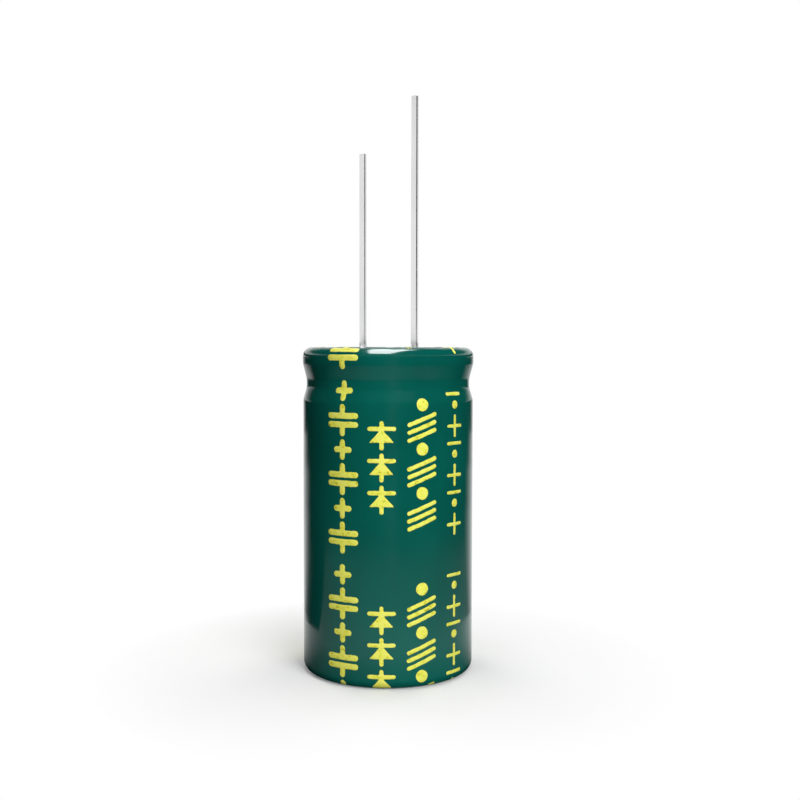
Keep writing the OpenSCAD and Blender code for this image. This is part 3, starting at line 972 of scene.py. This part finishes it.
def make_lead(name, node, side, length):
    """A tinned wire on its weld, sheared off square at the tip."""
    tip_z, r = CAN_TOP_Z + length, LEAD_D / 2
    section = [(0, BOSS_TOP_Z), (WELD_R, BOSS_TOP_Z)]
    section += [(WELD_R - WELD_SHOULDER[0], BOSS_TOP_Z + WELD_SHOULDER[1])]
    section += [(r + WELD_TOE[0], WIRE_Z - WELD_TOE[1]), (r, WIRE_Z), (r, WIRE_Z + LOW_RING)]
    section += [(r, tip_z - HIGH_RING), (r, tip_z - TIP_CHAMFER)]
    section += [(r - TIP_CHAMFER, tip_z), (0, tip_z)]
    wire = at_lead(turned_mesh(name, section, around=64), side)
    lead = put(name, wire, TIN, [node])
    lead.data.set_sharp_from_angle(angle=math.radians(40))
    lead.data.materials.append(SHEARED)
    for face in lead.data.polygons:
        if face.center.z > (tip_z - TIP_CHAMFER) * MM:
            face.material_index = SHEARED_SLOT


make_bung()
make_lead("lead_wire_long", "positive_lead", 1, POSITIVE_L)
make_lead("lead_wire_short", "negative_lead", -1, NEGATIVE_L)

# ---- Pieces inside the sealed can keep their CAD shapes ----

INNER = {"positive_tab": TAB, "negative_tab": TAB, "wound_element": PAPER, "closing_tape": TAPE}
for node_name, material in INNER.items():
    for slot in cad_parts[node_name].material_slots:
        slot.material = material

# ---- Floor, backdrop and light ----


WHITE = linear("#ffffff")
AMBIENT = 0.035
# The floor shows its shadow near the part and fades into the backdrop between these distances,
# in millimetres
FADE_START, FADE_END = 9.5, 32
FLOOR_HALF = 3


def seen_directly(tree):
    """1 for rays from the camera and for those seen in metal, gloss or glass."""
    path = add(tree, "ShaderNodeLightPath")
    glossy = add(
        tree, "ShaderNodeMath", {"operation": "MAXIMUM"},
        _0=path.outputs["Is Camera Ray"], _1=path.outputs["Is Glossy Ray"],
    )
    return add(
        tree, "ShaderNodeMath", {"operation": "MAXIMUM"},
        _0=glossy, _1=path.outputs["Is Transmission Ray"],
    )


def make_world():
    """A plain studio: white to look at, and a low even light on the object."""
    world = bpy.data.worlds.new("studio")
    bpy.context.scene.world = world
    world.use_nodes = True
    tree = world.node_tree
    tree.nodes.clear()
    backdrop = add(tree, "ShaderNodeBackground", Color=WHITE, Strength=1.0)
    room = add(tree, "ShaderNodeBackground", Color=WHITE, Strength=AMBIENT)
    both = add(tree, "ShaderNodeMixShader", _0=seen_directly(tree), _1=room, _2=backdrop)
    add(tree, "ShaderNodeOutputWorld", Surface=both)


def floor_paint():
    """White painted board, which fades into the backdrop away from the part.

    It is white to look at, and grey for the light that it throws back on the object.
    """
    material, tree, place = start("white_board")
    seen = seen_directly(tree)
    white = add(tree, "ShaderNodeBsdfDiffuse", Color=linear("#f4f4f4"))
    grey = add(tree, "ShaderNodeBsdfDiffuse", Color=linear("#606060"))
    paint = add(tree, "ShaderNodeMixShader", _0=seen, _1=grey, _2=white)
    glow = add(tree, "ShaderNodeEmission", Color=WHITE, Strength=1.0)
    distance = add(tree, "ShaderNodeVectorMath", {"operation": "LENGTH"}, _0=place)
    fade = add(
        tree, "ShaderNodeMapRange", Value=distance.outputs["Value"], From_Min=FADE_START * MM,
        From_Max=FADE_END * MM,
    )
    share = add(tree, "ShaderNodeMath", {"operation": "MULTIPLY"}, _0=fade, _1=seen)
    board = add(tree, "ShaderNodeMixShader", _0=share, _1=paint, _2=glow)
    add(tree, "ShaderNodeOutputMaterial", Surface=board)
    return material


def stand(name, points, faces, material):
    """Puts a floor or a card in the scene, which isn't part of the object."""
    mesh = bpy.data.meshes.new(name)
    mesh.from_pydata([tuple(p) for p in points], [], faces)
    mesh.materials.append(material)
    thing = bpy.data.objects.new(name, mesh)
    bpy.context.scene.collection.objects.link(thing)
    return thing


def make_floor():
    """A level board under the part, wide enough to meet the backdrop in every view."""
    half = FLOOR_HALF
    corners = [(-half, -half, 0), (half, -half, 0), (half, half, 0), (-half, half, 0)]
    stand("floor", corners, [(0, 1, 2, 3)], floor_paint())


def card_face(name, tones, side_fade, high_fade=None):
    """A matt card that thins out towards its ends, and its lower edge if high_fade is given.

    Tones are grey levels by the distance from the part in millimetres, which the card glows with,
    unlit: painted reflections for gloss and metal. Fades are pairs of angles in degrees, from bare
    to full: azimuths off the camera's side, or elevations.
    """
    material, tree, place = start(name)
    split = add(tree, "ShaderNodeSeparateXYZ", Vector=place)
    x, y, z = (split.outputs[axis] for axis in "XYZ")
    level = add(tree, "ShaderNodeCombineXYZ", X=x, Y=y)
    out = add(tree, "ShaderNodeVectorMath", {"operation": "LENGTH"}, _0=level).outputs["Value"]
    cosine = add(tree, "ShaderNodeMath", {"operation": "DIVIDE"}, _0=x, _1=out)
    bare, full = (math.cos(math.radians(angle)) for angle in side_fade)
    cover = add(tree, "ShaderNodeMapRange", Value=cosine, From_Min=bare, From_Max=full)
    if high_fade:
        far = add(tree, "ShaderNodeVectorMath", {"operation": "LENGTH"}, _0=place)
        sine = add(tree, "ShaderNodeMath", {"operation": "DIVIDE"}, _0=z, _1=far.outputs["Value"])
        bare, full = (math.sin(math.radians(angle)) for angle in high_fade)
        rise = add(tree, "ShaderNodeMapRange", Value=sine, From_Min=bare, From_Max=full)
        cover = add(tree, "ShaderNodeMath", {"operation": "MULTIPLY"}, _0=cover, _1=rise)
    widest = tones[-1][0]
    reach = add(tree, "ShaderNodeMath", {"operation": "DIVIDE"}, _0=out, _1=widest * MM)
    greys = [(distance / widest, grey) for distance, grey in tones]
    tone = add(tree, "ShaderNodeValToRGB", Fac=reach, stops=greys)
    # The card's grey glows on its own as a painted reflection; no lamp lights it.
    face = add(tree, "ShaderNodeEmission", Color=tone, Strength=1.0)
    clear = add(tree, "ShaderNodeBsdfTransparent")
    thinned = add(tree, "ShaderNodeMixShader", _0=cover, _1=clear, _2=face)
    add(tree, "ShaderNodeOutputMaterial", Surface=thinned)
    return material


def card(name, first, last, profile, face):
    """A card bent round the part between two azimuths off the camera's side.

    Its profile is (distance, height) in metres. Only gloss and metal see it, so it shades nothing
    and no view shows it.
    """
    steps = 48
    points = []
    for k in range(steps + 1):
        w = math.radians(first + (last - first) * k / steps)
        points += [(out * math.cos(w), out * math.sin(w), height) for out, height in profile]
    rows = len(profile)
    faces = [
        (k * rows + i, k * rows + i + 1, (k + 1) * rows + i + 1, (k + 1) * rows + i)
        for k in range(steps)
        for i in range(rows - 1)
    ]
    thing = stand(name, points, faces, face)
    thing.rotation_euler.z = CAMERA_SIDE
    thing.visible_camera = thing.visible_diffuse = thing.visible_shadow = False


def dome(distance, low, high):
    """Profile of a card that stands on a sphere round the part, between two elevations."""
    steps = 12
    elevations = [math.radians(low + (high - low) * k / steps) for k in range(steps + 1)]
    return [(distance * math.cos(e), distance * math.sin(e)) for e in elevations]


# Tones and places of the cards: black velvet, a card that lies on the table, the ones that stand
# round it, the ones that lie level with the can's top, and the dome over all of them, in metres
BLACK = 0.003
TABLE_Z = 0.0004
STUDIO_R = 0.4
SHELF_Z = 0.035
SHELF_START = 0.012
DOME_R = 0.6
DOME_SPLIT = 70


def make_cards():
    """Cards round the front, so that the gloss stays as deep as in a dark studio.

    The cards on the table glow with painted greys, unlit by any lamp: a painted reflection of the
    lit table, grey near the part and black further out; each next one reaches further round, so
    that the light along the can's edges narrows upwards. The nearest one reaches under the base's
    bend, where its darkest greys paint the shadow that gives the dark line there, and one on the
    left darkens that side. The last one stands up to the height of the can. Over the can lies one
    that is black below and white above, for the leads. A dome leans over the part, and a narrow
    card on the right draws a dark line down each lead.
    """
    black, white = [(0, BLACK), (1000, BLACK)], [(0, 1.0), (1000, 1.0)]
    ends, whole = (148, 122), (180, 179)
    # Painted reflection of the lit table, in glowing greys: darkest under the base's bend for a
    # painted shadow line.
    near_painted_tones = [(8, 0.006), (9.6, 0.01), (11, 0.1), (14, 0.17)]
    near_painted_tones += [(20, 0.36), (27, 0.34), (46, 0.19), (50, 0.19)]
    near = card_face("painted_reflection_grey_card", near_painted_tones, (134, 76))
    under_base = [(0.0087, 0.00003), (0.0095, 0.0002), (0.012, 0.0006), (0.05, 0.0006)]
    card("table_card_near", -150, 150, under_base, near)
    # The painted reflection of the lit table fades from grey to black further out.
    far_painted_tones = [(46, 0.19), (66, 0.18), (86, 0.04), (120, BLACK)]
    table = card_face("painted_reflection_black_card", far_painted_tones, ends)
    card("table_card", -150, 150, [(out, TABLE_Z) for out in (0.028, 0.05, 0.12)], table)
    side = card_face("black_side_card", black, (140, 112))
    card("side_card", -150, -88, [(0.0235, 0.0008), (0.13, 0.0008)], side)
    far = card_face("black_far_card", black, (152, 126))
    card("far_card", -170, 170, [(0.12, TABLE_Z), (0.2, TABLE_Z)], far)
    deep = card_face("black_deep_card", black, (158, 134))
    card("deep_card", -175, 175, [(0.2, TABLE_Z), (0.32, TABLE_Z)], deep)
    rim = card_face("black_rim_card", black, (168, 146))
    standing = [(0.32, TABLE_Z), (STUDIO_R, TABLE_Z), (STUDIO_R, SHELF_Z)]
    card("rim_card", -175, 175, standing, rim)
    shelf = card_face("black_shelf_card", black, ends)
    card("shelf_card_black", -150, 150, [(SHELF_START, SHELF_Z), (STUDIO_R, SHELF_Z)], shelf)
    pale, pale_z = card_face("white_shelf_card", white, whole), SHELF_Z + 0.0002
    card("shelf_card_white", -180, 180, [(SHELF_START, pale_z), (STUDIO_R, pale_z)], pale)
    over = card_face("black_card_high", black, (162, 138), (20, 24))
    card("black_card_high", -175, 175, dome(DOME_R, 18, DOME_SPLIT), over)
    velvet = card_face("black_velvet_card", black, whole)
    card("black_card_over", -180, 180, dome(DOME_R, DOME_SPLIT, 89), velvet)
    card("black_card_tall", 42, 80, [(0.41, 0.036), (0.41, 0.2)], velvet)


# Height of the lamps' aim over the table, and the softboxes' distance from it and width, in metres
AIM_Z = 0.02
SOFTBOX_OUT = 0.45
SOFTBOX_W = 0.22


def lamp(name, azimuth, elevation, distance, width, length, watts, aim=AIM_Z):
    """An area lamp that faces the part's axis at the height aim.

    Its azimuth is in degrees from the camera's side, to its right.
    """
    data = bpy.data.lights.new(name, "AREA")
    data.shape, data.size, data.size_y, data.energy = "RECTANGLE", width, length, watts
    w, e = CAMERA_SIDE + math.radians(azimuth), math.radians(elevation)
    out, up = distance * math.cos(e), distance * math.sin(e)
    thing = bpy.data.objects.new(name, data)
    thing.location = (out * math.cos(w), out * math.sin(w), up + aim)
    towards = Vector((0, 0, aim)) - thing.location
    thing.rotation_euler = towards.to_track_quat("-Z", "Y").to_euler()
    bpy.context.scene.collection.objects.link(thing)
    return thing


def softbox(name, azimuth, elevation, share, shadow=True):
    """A softbox whose light alone shows a white card that faces it as bright as share.

    It is flagged off, so that gloss and metal don't mirror it.
    """
    watts = share * math.pi**2 * SOFTBOX_OUT**2
    thing = lamp(name, azimuth, elevation, SOFTBOX_OUT, SOFTBOX_W, SOFTBOX_W, watts)
    thing.visible_glossy = False
    thing.data.use_shadow = shadow


def near_lamp(name, azimuth, distance, width, length, brightness, aim):
    """A lamp close to the part, which fades fast towards its sides.

    No gloss, shadow or view shows it.
    """
    watts = brightness * math.pi * width * length
    thing = lamp(name, azimuth, 0, distance, width, length, watts, aim)
    thing.visible_camera = thing.visible_glossy = False
    thing.data.use_shadow = False


def strip_light(name, azimuth, elevation, distance, width, length, brightness):
    """A long tube behind a diffuser, which only gloss mirrors."""
    watts = brightness * math.pi * width * length
    thing = lamp(name, azimuth, elevation, distance, width, length, watts)
    thing.visible_diffuse = False


make_world()
make_floor()
make_cards()
softbox("key_softbox", 26, 30, 0.6)
softbox("top_softbox", 0, 85, 0.3)
near_lamp("front_tube", 6, 0.06, 0.012, 0.13, 3.8, 0.022)
softbox("back_left_softbox", -142, 25, 0.4, shadow=False)
softbox("back_right_softbox", 135, 25, 0.4, shadow=False)
strip_light("overhead_strip", -12, 76, 0.3, 0.14, 0.36, 14)

bpy.context.scene.view_settings.view_transform = "Standard"
